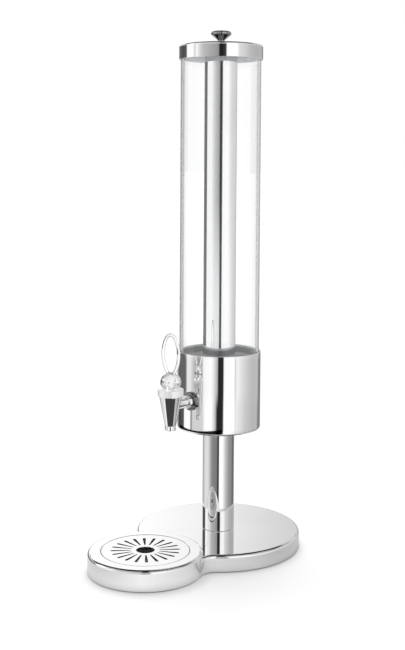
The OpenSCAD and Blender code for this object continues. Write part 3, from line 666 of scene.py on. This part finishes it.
def slot_field(level, up):
    """Twenty like sectors of a flat ring, each with a slot in its middle. Round a sector's edge run evenly
    spaced places, and each is joined by straight steps in radius and angle to the slot's edge, a
    superellipse of the sixth power, met on the line to the slot's middle. Gives the flat faces and the
    slots' edges."""
    near, far = finger_r + edge_r, grille_r - edge_r
    middle, half = (slot_near + slot_far) / 2, (slot_far - slot_near) / 2
    side, ends = np.linspace(-1, 1, 17)[:-1], np.linspace(-1, 1, 9)[:-1]
    x = np.concatenate([side, np.ones(8), -side, -np.ones(8), side[:1]])
    y = np.concatenate([-np.ones(16), ends, np.ones(16), -ends, -np.ones(1)])
    edge_x = np.where(x > 0, x * (far - middle), x * (middle - near))
    edge_y = y * 180.0 / slot_count
    share = (np.abs(edge_x / half) ** 6 + np.abs(edge_y / (slot_spread / 2)) ** 6) ** (-1 / 6)
    share = share + (1 - share) * np.linspace(0, 1, 5)[:, None]
    radius = middle + edge_x * share
    turn_by = 90 + slot_turn + 360 / slot_count * np.arange(slot_count)[:, None, None]
    a = np.radians((edge_y * share)[None] + turn_by)
    flat = np.stack([radius * np.cos(a), radius * np.sin(a) - tray_reach, np.full_like(a, level)], -1)
    return [(f, np.broadcast_to([0.0, 0.0, up], (4, 2) + f.shape[1:])) for f in flat], flat[:, 0]


def slot_walls(upper, lower):
    """Upright walls between the upper and lower edges of each slot, with normals square to the edge and
    level."""
    walls = []
    for high, low in zip(upper, lower):
        run = np.gradient(high, axis=0)
        run[0] = run[-1] = high[1] - high[-2]
        n = np.stack([-run[:, 1], run[:, 0], 0 * run[:, 0]], -1)
        n /= np.linalg.norm(n, axis=1, keepdims=True)
        inward = high[:, :2].mean(0) - high[:, :2]
        n *= np.sign((n[:, :2] * inward).sum(1).mean())
        walls.append((np.stack([high, low]), np.stack([n, n])[None]))
    return walls


upper_faces, upper_edges = slot_field(grille_top, 1.0)
lower_faces, lower_edges = slot_field(grille_low, -1.0)
rims = [bend(edge, [0, edge_r * 0.9, edge_r * 0.9, 0], 4) for edge in (
        wall(grille_r - edge_r, grille_r, grille_low, grille_top),
        wall(finger_r + edge_r, finger_r, grille_top, grille_low))]
grille = skin("punched_grille", upper_faces + lower_faces + slot_walls(upper_edges, lower_edges) +
              [turned(rim, (0, -tray_reach), 320) for rim in rims])
place(grille, mirror, "drip_grille", "polished_steel", "drip_grille")


# Tap body

# The tap is a turned and polished body: a cone that narrows to the outlet, with a ring pressed on its tip,
# and a threaded shank with a shoulder that goes through cup and tank to a nut inside.
tap_y = -101.0
tip_z = 184.0
tip_r = 6.4
outlet_r = 5.0
outlet_ring_r = 7.95
outlet_ring_bore = 6.45
outlet_ring_top = 190.85
cone_foot = 191.0
cone_top = 232.0
cone_top_r = 16.1
chamber_r = 10.0
chamber_foot = 208.0
shank_z = 218.0
shank_r = 7.0
shank_bore = 4.0
shank_front = tap_y + 9
shank_back = -43.5
shoulder_r = 9.5
shoulder_front = -71.0
shoulder_back = -64.0


def lengthwise(profile, around):
    """A profile of (radius, y) turned about the shank's level axis: it is turned about an upright axis,
    and then height and depth change places. The profile runs the other way, because y points away from the
    front."""
    points, normals = turned(profile, (0, shank_z), around)
    return points[..., [0, 2, 1]], normals[..., [0, 2, 1]]


body_profile = bend([(outlet_r, tip_z), (tip_r, tip_z), (tip_r, cone_foot), (outlet_ring_r, cone_foot),
                     (cone_top_r, cone_top), (chamber_r, cone_top), (chamber_r, chamber_foot),
                     (outlet_r, chamber_foot)], [0, 0, 0, 0.5, 0.6, 0, 0, 0], 5, closed=True)
shank_profile = bend([(shank_bore, shank_front), (shank_bore, shank_back), (shank_r, shank_back),
                      (shank_r, shoulder_back), (shoulder_r, shoulder_back), (shoulder_r, shoulder_front),
                      (shank_r, shoulder_front), (shank_r, shank_front)],
                     [0.3, 0.3, 0.5, 0, 0.8, 1.2, 0.5, 0], 5, closed=True)
tap = skin("tap_cone", [turned(body_profile, (0, tap_y), 80), lengthwise(shank_profile, 64)])
place(tap, mirror, "stand", "polished_steel", "tap_body")
ring_profile = bend(wall(outlet_ring_bore, outlet_ring_r, tip_z, outlet_ring_top), [0.3, 1.0, 1.0, 0.1], 5,
                    closed=True)
outlet = skin("outlet_ring_polished", [turned(ring_profile, (0, tap_y), 64)])
place(outlet, mirror, "stand", "polished_steel", "outlet_ring")
dress("tap_nut", turned_finish)
for hidden in ("shank_spacer", "shank_washer", "stem_seal", "valve_seat"):
    dress(hidden, silicone)


# Escutcheon

# A round washer between the tap's shoulder and the cup, rounded in front and hollowed behind to the cup's
# own radius. Its polish is darkened, a painted shade that makes it mirror the room darker than bare steel.
washer_bore = 7.05
washer_r = 13.25
washer_back = -58.9
hollow_from = -60.2
hollow_r = cup_r + 0.02


def darkened_polish(w):
    """Polished steel darkened to about a quarter of the bare metal's brightness: painted shade for darker
    reflections.
    """
    return polished(w, (0.22, 0.22, 0.225, 1), (0.18, 0.18, 0.185, 1), 0.02)


washer_profile = bend([(washer_bore, shoulder_back), (washer_r, shoulder_back), (washer_r, washer_back),
                       (washer_bore, washer_back)], [0, 2.0, 0, 0], 6, closed=True)
washer_points, washer_normals = lengthwise(washer_profile, 72)
across, depth = washer_points[..., 0], washer_points[..., 1]
washer_points[..., 1] = np.where(depth > hollow_from, -np.sqrt(hollow_r ** 2 - across ** 2), depth)
escutcheon = skin("escutcheon_round", [(washer_points, washer_normals)])
place(escutcheon, finish("darkened_polished_steel", darkened_polish), "stand", "polished_steel", "escutcheon")


# Bonnet and stem

# A round ring nut closes the top of the tap. Through its middle goes the turned stem that carries the
# valve's seat below and is joined to the handle above.
bonnet_r = 18.0
bonnet_foot = 228.0
bonnet_top = 241.6
spigot_r = 9.95
stem_hole_r = 2.65
face_r = 10.5
face_top = 242.0


def brushed(w):
    """Turned steel brushed round its axis: the polish is softer, and fine rings run round the wall."""
    soft = polished(w, (0.98, 0.98, 0.98, 1), (0.95, 0.95, 0.955, 1), 0.28)
    rings = w.noise(1400, 2, (0.04, 0.04, 1.0))
    return soft | {"Metallic": 0.4, "Roughness": soft["Roughness"] + rings * 0.1,
                   "Normal": rings.bump(0.05, 0.0001)}


bonnet_profile = bend([(stem_hole_r, bonnet_foot), (spigot_r, bonnet_foot), (spigot_r, cone_top),
                       (bonnet_r, cone_top), (bonnet_r, bonnet_top), (face_r, bonnet_top),
                       (chamber_r, face_top), (stem_hole_r, face_top)],
                      [0, 0, 0, 0.5, 1.2, 0.3, 0.2, 0.2], 5, closed=True)
bonnet = skin("tap_bonnet_polished", [turned(bonnet_profile, (0, tap_y), 96)])
place(bonnet, finish("brushed_steel", brushed), "stand", "polished_steel", "tap_bonnet")
stem_profile = bend(wall(bore=0, radius=2.5, foot=210.25, top=252.8), [0, 0.3, 0.5, 0], 4)
stem = skin("valve_stem_turned", [turned(stem_profile, (0, tap_y), 40)])
place(stem, turned_finish, "valve_stem", "plain_steel", "valve_stem")


# Return spring

# A coil of round steel wire between the bonnet's spigot and the valve's seat. It shortens from below as
# the stem rises, and pushes the seat back onto the outlet.
spring_r = 4.5
wire_r = 0.4
spring_turns = 5
spring_foot, spring_head = (1000 * corner[2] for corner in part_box("return_spring"))


def coil(per_turn=36, around=12):
    """A round wire carried along a helix: each point is the helix's place, plus the wire's radius times
    the outward direction's cosine share and the upward one's sine share. The radius is nought at both
    ends."""
    turn = 2 * math.pi * np.linspace(0, spring_turns, per_turn * spring_turns + 1)
    turn = np.concatenate([turn[:1], turn, turn[-1:]])
    thick = np.full(turn.shape, wire_r)
    thick[[0, -1]] = 0
    level = spring_foot + wire_r + (spring_head - spring_foot - 2 * wire_r) * turn / turn[-1]
    out = np.stack([np.cos(turn), np.sin(turn), 0 * turn], -1)
    middle = np.stack([0 * turn, tap_y + 0 * turn, level], -1) + spring_r * out
    a = np.linspace(0, 2 * math.pi, around + 1)[:, None, None]
    n = np.cos(a) * out + np.sin(a) * np.array([0.0, 0.0, 1.0])
    return middle + thick[:, None] * n, smooth(n)


spring = skin("coil_spring", [coil()])
place(spring, turned_finish, "stand", "plain_steel", "return_spring")
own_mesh(spring)


# Lever handle

# One piece of clear moulded plastic: a round foot that rocks on the bonnet and a flat oval ring for a
# finger. A steel pin through the foot joins it to the stem.
pin_z = 249.8
pin_bore_r = 1.525
belly_r, belly_out = 7.5, 7.0
dome_r, dome_out, dome_z = 12.0, 2.5, 251.0
ring_z = 289.1
bar_r = 2.5
end_r, end_up, end_angle = 9.5, 17.6, 32.92
stem_slot_low = (-2.8, tap_y - 7.52, 240.0)
stem_slot_high = (2.8, tap_y + 3.97, 254.0)


def crystal(w):
    """Clear moulded plastic, slightly uneven where it cooled, and greyer where one looks along its
    surface."""
    flow = w.noise(55, 2)
    along_skin = w.node("LayerWeight", {"Blend": 0.5}, out="Facing").between(0.05, 0.55)
    clear = flow.mixed((0.90, 0.905, 0.91, 1), (0.96, 0.96, 0.96, 1))
    solid = w.node("BsdfPrincipled", {"Base Color": along_skin.mixed(clear, (0.32, 0.32, 0.325, 1)),
                                      "Roughness": 0.005 + flow * 0.015, "IOR": 1.49,
                                      "Transmission Weight": 1.0, "Normal": flow.bump(0.08, 0.0008)})
    return let_light_through(w, solid)


def foot_shape():
    """The foot's profile: flat below, a quarter circle out and up round its belly, and a larger quarter
    circle back in over its dome."""
    line, n = joined(([(0, pin_z - belly_r)], [(0, -1)]), arc((belly_out, pin_z), belly_r, -90, 0, 12),
                     arc((dome_out, dome_z), dome_r, 0, 90, 20), ([(0, dome_z + dome_r)], [(0, 1)]))
    return line, smooth(n)


def oval():
    """The ring's middle line in x and z about its middle: two short arcs round its ends and two long ones
    along its sides. They meet at end_angle above and below the level, on the lines through their
    centres."""
    shift = end_up / math.tan(math.radians(end_angle))
    long_r = end_up / math.sin(math.radians(end_angle)) + end_r
    return joined(arc((0, end_up), end_r, end_angle, 180 - end_angle, 28),
                  arc((shift, 0), long_r, 180 - end_angle, 180 + end_angle, 40),
                  arc((0, -end_up), end_r, 180 + end_angle, 360 - end_angle, 28),
                  arc((-shift, 0), long_r, -end_angle, end_angle, 40))


def cut_box(low, high):
    """A box between two corners, whose eight points are all choices of low or high along each axis."""
    choose = np.indices((2, 2, 2)).reshape(3, -1).T
    mesh = bpy.data.meshes.new("stem_slot_cut")
    mesh.from_pydata((np.where(choose, high, low) * 0.001).tolist(), [],
                     [(0, 1, 3, 2), (4, 6, 7, 5), (0, 4, 5, 1), (2, 3, 7, 6), (0, 2, 6, 4), (1, 5, 7, 3)])
    return set_up("stem_slot_cut", mesh)


# The ring is a round bar carried along the upright oval. The stem's slot and the pin's bore are cut out of
# the foot.
handle = skin("lever_handle", [turned(foot_shape(), (0, tap_y), 64)])
bar, bar_normals = arc((0, 0), bar_r, 0, 360, 29)
points, normals = swept((bar, smooth(bar_normals)), oval())
ring = skin("finger_ring", [(points[..., [0, 2, 1]] + (0, tap_y, ring_z), normals[..., [0, 2, 1]])])
stem_slot = cut_box(stem_slot_low, stem_slot_high)
points, normals = turned(bend(wall(bore=0, radius=pin_bore_r, foot=-20, top=20)), (0, 0), 40)
pin_bore = skin("pin_bore_cut", [(points[..., ::-1] + (0, tap_y, pin_z), normals[..., ::-1])])
for other, work in ((ring, "UNION"), (stem_slot, "DIFFERENCE"), (pin_bore, "DIFFERENCE")):
    join = handle.modifiers.new(work.lower(), "BOOLEAN")
    join.operation, join.solver, join.object = work, "EXACT", other
moulding = bpy.data.meshes.new_from_object(handle.evaluated_get(bpy.context.evaluated_depsgraph_get()))
handle.modifiers.clear()
handle.data = moulding
moulding.polygons.foreach_set("use_smooth", np.ones(len(moulding.polygons), bool))
moulding.set_sharp_from_angle(angle=math.radians(32))
for cutter in (ring, stem_slot, pin_bore):
    bpy.data.objects.remove(cutter)
place(handle, finish("clear_moulded_plastic", crystal), "tap_handle", "clear_handle", "tap_handle")
dress("handle_pin", turned_finish)


# Floor, room and lamp

# A white table top without an end, in a white studio. Large soft boxes stand round the object with dark
# gaps between them. Above them the walls are white, and the ceiling is grey in front, with a dark gap, and
# black behind and straight above.
camera_side = (0.6584, -0.7527, 0.0)
image_right = (0.7527, 0.6584, 0.0)
# Bounds of a painted dark reflection: the patch of table through which mirrors see the room almost black.
dark_patch_near, dark_patch_far, dark_patch_right, dark_patch_back = 0.733, 0.790, 0.14, -0.5
dark_patch_centre = (0.0211, 0.0184)
mirror_reach = 0.078
table_half = 30.0


def reach(vector, direction):
    """How far a vector reaches along a direction: their dot product."""
    return vector.node("VectorMath", {0: vector, 1: direction}, out="Value", operation="DOT_PRODUCT")


def table_top(w):
    """White laminate that keeps the object's shadow. Mirrors see only the strip of it next to the object,
    whose colour for them is a painted shade, darker to the right, and past it the studio, with one black
    patch far behind, a painted dark reflection where the cup's foot mirrors it."""
    paper = w.noise(6, 2).mixed((0.985, 0.985, 0.985, 1), (0.995, 0.995, 0.995, 1))
    here = w.node("TexCoord", out="Object")

    def away_from(x, y):
        return w.node("VectorMath", {0: here, 1: (x, y, 0.0)}, out="Value", operation="DISTANCE")

    mirrored = w.node("LightPath", out="Glossy Depth") > 0.5
    off_base = away_from(0.0, 0.0) - 0.001 * base_r
    off_tray = away_from(0.0, -0.001 * tray_reach) - 0.001 * tray_r
    past = w.maths("MINIMUM", off_base, off_tray).between(mirror_reach, mirror_reach + 0.01)
    rightward = reach(here, image_right)
    # Painted shade that only mirrors see: the strip's greys fall off towards the right.
    painted_mirror_shade = w.node("ValToRGB", {"Fac": rightward + 0.5}, stops=[
        (0.24, 0.54), (0.33, 0.75), (0.40, 0.95), (0.46, 0.92), (0.56, 0.76), (0.63, 0.55), (0.75, 0.46)])
    board = w.node("BsdfPrincipled", {"Base Color": mirrored.mixed(paper, painted_mirror_shade), "Roughness": 0.9,
                                      "Specular IOR Level": 0.0})
    # A painted dark reflection: far behind the object, mirrors see the room through the table at a fiftieth
    # of its brightness.
    painted_dark_reflection = (away_from(0.0, 0.0) > dark_patch_near) * (away_from(*dark_patch_centre) < dark_patch_far)
    painted_dark_reflection = painted_dark_reflection * (rightward < dark_patch_right) * (reach(here, camera_side) > dark_patch_back)
    gone = w.node("MixShader", {0: painted_dark_reflection, 1: w.node("BsdfTransparent", {"Color": (1, 1, 1, 1)}),
                                2: w.node("BsdfTransparent", {"Color": (0.02, 0.02, 0.02, 1)})})
    return w.node("MixShader", {0: mirrored * past, 1: board, 2: gone})


board_mesh = bpy.data.meshes.new("table_top")
board_corners = [(x * table_half, y * table_half, 0) for x, y in ((-1, -1), (1, -1), (1, 1), (-1, 1))]
board_mesh.from_pydata(board_corners, [], [(0, 1, 2, 3)])
table = set_up("table_top", board_mesh)
table.data.materials.append(finish("white_laminate", table_top))

world = bpy.data.worlds.new("studio")
bpy.context.scene.world = world
world.use_nodes = True
world.node_tree.nodes.clear()
w = Wire(world.node_tree)
way = w.node("TexCoord", out="Generated")
along, across, height = reach(way, camera_side), reach(way, image_right), reach(way, (0, 0, 1))
round_share = w.maths("ARCTAN2", across, along) / (2 * math.pi) + 0.5


def band(*pairs):
    """The greys that lie round the object at one height, as pairs of an azimuth in degrees and a
    brightness, from the back round by the left, the camera's side and the right to the back again."""
    return w.node("ValToRGB", {"Fac": round_share}, stops=[((a + 180) / 360, grey) for a, grey in pairs])


lid_band = band(
    (-180, 0.60), (-166, 0.50), (-156, 0.12), (-137, 0.10), (-128, 0.07), (-109, 0.10), (-105, 1.0),
    (-83, 1.0), (-79, 0.80), (-74.5, 0.58), (-72, 1.0), (-66, 0.84), (-60, 0.68), (-54, 0.56), (-46, 0.48),
    (-31, 0.41), (-12, 0.33), (-6.5, 0.27), (-4, 0.02), (2, 0.013), (13.5, 0.05), (16.5, 1.0), (44, 1.0),
    (48, 0.83), (52, 0.70), (64, 0.64), (77, 0.56), (88, 0.48), (110, 0.43), (143, 0.45), (152, 0.30),
    (165, 0.25))
level_band = band(
    (-180, 0.60), (-166, 0.50), (-156, 0.12), (-128, 0.08), (-109, 0.10), (-105, 1.0), (-72, 1.0),
    (-65, 0.98), (-57, 0.80), (-49, 0.70), (-42, 0.62), (-35, 0.53), (-20, 0.43), (-12, 0.37),
    (-6.5, 0.30), (-3, 0.02), (3, 0.013), (12, 0.03), (17, 1.0), (50, 1.0), (59, 0.94), (68, 0.84),
    (86, 0.69), (107, 0.65), (136, 0.61), (152, 0.45), (165, 0.35))
near_band = band(
    (-180, 0.60), (-156, 0.20), (-137, 0.12), (-109, 0.12), (-104, 1.0), (-62, 1.0), (-50, 0.92),
    (-36, 0.80), (-20, 0.80), (-8, 0.78), (-3, 0.70), (0, 0.05), (12, 0.03), (16, 1.0), (56, 1.0),
    (64, 0.98), (75, 0.91), (88, 0.79), (110, 0.64), (143, 0.57), (152, 0.35), (165, 0.30))
middle_band = band(
    (-180, 0.50), (-140, 0.10), (-128, 0.13), (-107, 0.12), (-102, 0.30), (-98, 0.80), (-86, 0.80),
    (-79, 0.62), (-72, 0.50), (-65, 0.32), (-55, 0.30), (-48, 0.42), (-42, 0.92), (-22, 1.0), (-16, 0.85),
    (-9, 0.60), (-3.5, 0.40), (-1.8, 0.02), (11.5, 0.025), (14.5, 1.0), (43, 1.0), (45.5, 0.50),
    (47.5, 0.83), (54, 0.88), (61, 0.78), (74, 0.66), (92, 0.54), (105, 0.49), (134, 0.49), (140, 0.22),
    (152, 0.20), (180, 0.40))
low_band = band(
    (-180, 0.50), (-150, 0.20), (-143, 0.07), (-135, 0.035), (-128, 0.085), (-114, 0.085), (-110, 0.95),
    (-87, 1.0), (-83.5, 0.25), (-81, 0.25), (-78, 0.62), (-46, 0.64), (-38, 1.0), (-20, 1.0), (-14, 0.72),
    (-9, 0.45), (-6.3, 0.12), (-4.3, 0.02), (11, 0.022), (14, 1.0), (43, 1.0), (46, 0.70), (49, 0.87),
    (54, 0.78), (66, 0.70), (75, 0.60), (97, 0.50), (111, 0.47), (130, 0.48), (134, 0.27), (150, 0.19),
    (180, 0.50))
deep_band = band(
    (-180, 0.60), (-150, 0.35), (-128, 0.52), (-110, 0.72), (-80, 0.72), (-62, 0.44), (-47, 0.24),
    (-14, 0.19), (-8, 0.13), (-5, 0.03), (3, 0.03), (6, 1.0), (30, 1.0), (49, 0.60), (66, 0.41),
    (84, 0.29), (94, 0.26), (110, 0.27), (115, 0.14), (136, 0.14), (150, 0.40), (180, 0.60))
under_band = band(
    (-180, 0.5), (-108, 0.9), (-66, 1.0), (-58, 0.05), (52, 0.05), (62, 0.50), (120, 0.60), (180, 0.5))
back_wall = band((-180, 0.84), (-176, 0.98), (-160, 1.0), (160, 0.60), (176, 0.62), (180, 0.84))
white_wall = band(
    (-180, 0.84), (-176, 0.98), (-160, 1.0), (-60, 0.95), (60, 0.95), (160, 0.60), (176, 0.62), (180, 0.84))
back_share = band((-180, 1.0), (-165, 1.0), (-150, 0.0), (150, 0.0), (165, 1.0), (180, 1.0))

# The bands change from one to the next at these heights, which are sines of the elevation. The lower ones
# are what the cup, the column and the base mirror, and the topmost one is what the lid mirrors.
sides = height.between(0.086, 0.0895).mixed(level_band, lid_band)
sides = height.between(-0.14, -0.02).mixed(near_band, sides)
sides = height.between(-0.182, -0.165).mixed(middle_band, sides)
sides = height.between(-0.225, -0.205).mixed(low_band, sides)
sides = height.between(-0.246, -0.240).mixed(deep_band, sides)
sides = height.between(-0.52, -0.48).mixed(under_band, sides)
sides = (height.between(0.16, 0.23) * back_share).mixed(sides, back_wall)

# Two white rows go round above the bands, and light the base's top from every side. The upper one leaves
# out the left and the right, and behind the object it reaches to the ceiling.
white_rows = (height.between(0.13, 0.15) * (1.0 - height.between(0.275, 0.292)) +
              height.between(0.362, 0.38) * (1.0 - height.between(0.49, 0.51) * along.between(0.0, 0.2)) *
              (along * along).between(0.35, 0.5))
sides = white_rows.mixed(sides, white_wall)
ceiling_front = band((-180, 0.40), (-6, 0.40), (-3, 0.03), (12, 0.03), (15, 0.40), (180, 0.40))
ceiling = (0.0 - along).between(0.05, 0.25).mixed(ceiling_front, (0.04, 0.04, 0.042, 1))
studio = height.between(0.62, 0.65).mixed(sides, ceiling)
hatch_at = (-0.1143, 0.1307, 0.9848)
hatch = reach(way, hatch_at).between(0.85, 0.89)
studio = hatch.mixed(studio, (0.02, 0.02, 0.022, 1))

# A ray that has met a mirror sees the studio's pattern. One that only went through the clear tank's wall,
# or comes from the table, sees the plain white room.
glossy = w.node("LightPath", out="Glossy Depth") > 0.5
passes = w.node("LightPath", out="Transmission Depth")
in_wall = (passes > 0.5) * (passes < 2.5)
from_table = w.node("LightPath", out="Diffuse Depth") > 0.5
mirrored = glossy * (1.0 - in_wall) * (1.0 - from_table)
straight = w.maths("MAXIMUM", w.node("LightPath", out="Is Camera Ray"),
                   w.node("LightPath", out="Is Transmission Ray"))
straight = w.maths("MAXIMUM", straight, glossy * in_wall)
plain = straight.mixed((0.67, 0.67, 0.67, 1), (1, 1, 1, 1))
lit = w.node("VectorMath", {0: studio, 1: (1.12, 1.12, 1.125)}, operation="MULTIPLY")
shown = mirrored.mixed(plain, lit)
w.node("OutputWorld", {"Surface": w.node("Background", {"Color": shown, "Strength": 1.0})})

lamp = bpy.data.lights.new("overhead_softbox", "SUN")
lamp.energy = 1.6
lamp.angle = math.radians(50)
overhead = set_up("overhead_softbox", lamp)
overhead.rotation_euler = (math.radians(-16), math.radians(-20), 0)
overhead.visible_glossy = False


# Camera

# The photograph was taken a little above the middle of the tank, from the front right, with the view
# shifted so that the upright lines stay upright.
camera_at = (1.0533, -1.2041, 0.5616)
heading = (-0.6702, 0.7422)
pitch, roll = math.radians(2.695), math.radians(0.34)
look = np.array([heading[0] * math.cos(pitch), heading[1] * math.cos(pitch), -math.sin(pitch)])
look /= np.linalg.norm(look)
right = np.cross(look, (0, 0, 1))
right /= np.linalg.norm(right)
upward = np.cross(right, look)
right, upward = (right * math.cos(roll) + upward * math.sin(roll),
                 upward * math.cos(roll) - right * math.sin(roll))
lens = bpy.data.cameras.new("photo_camera")
lens.lens = 61.74
lens.sensor_width = 36.0
lens.sensor_fit = "AUTO"
lens.shift_y = -0.178
lens.clip_start = 0.01
camera = set_up("photo_camera", lens)
camera.matrix_world = Matrix([*np.stack([right, upward, -look, camera_at], 1).tolist(), [0, 0, 0, 1]])
bpy.context.scene.camera = camera
bpy.context.scene.view_settings.view_transform = "Standard"
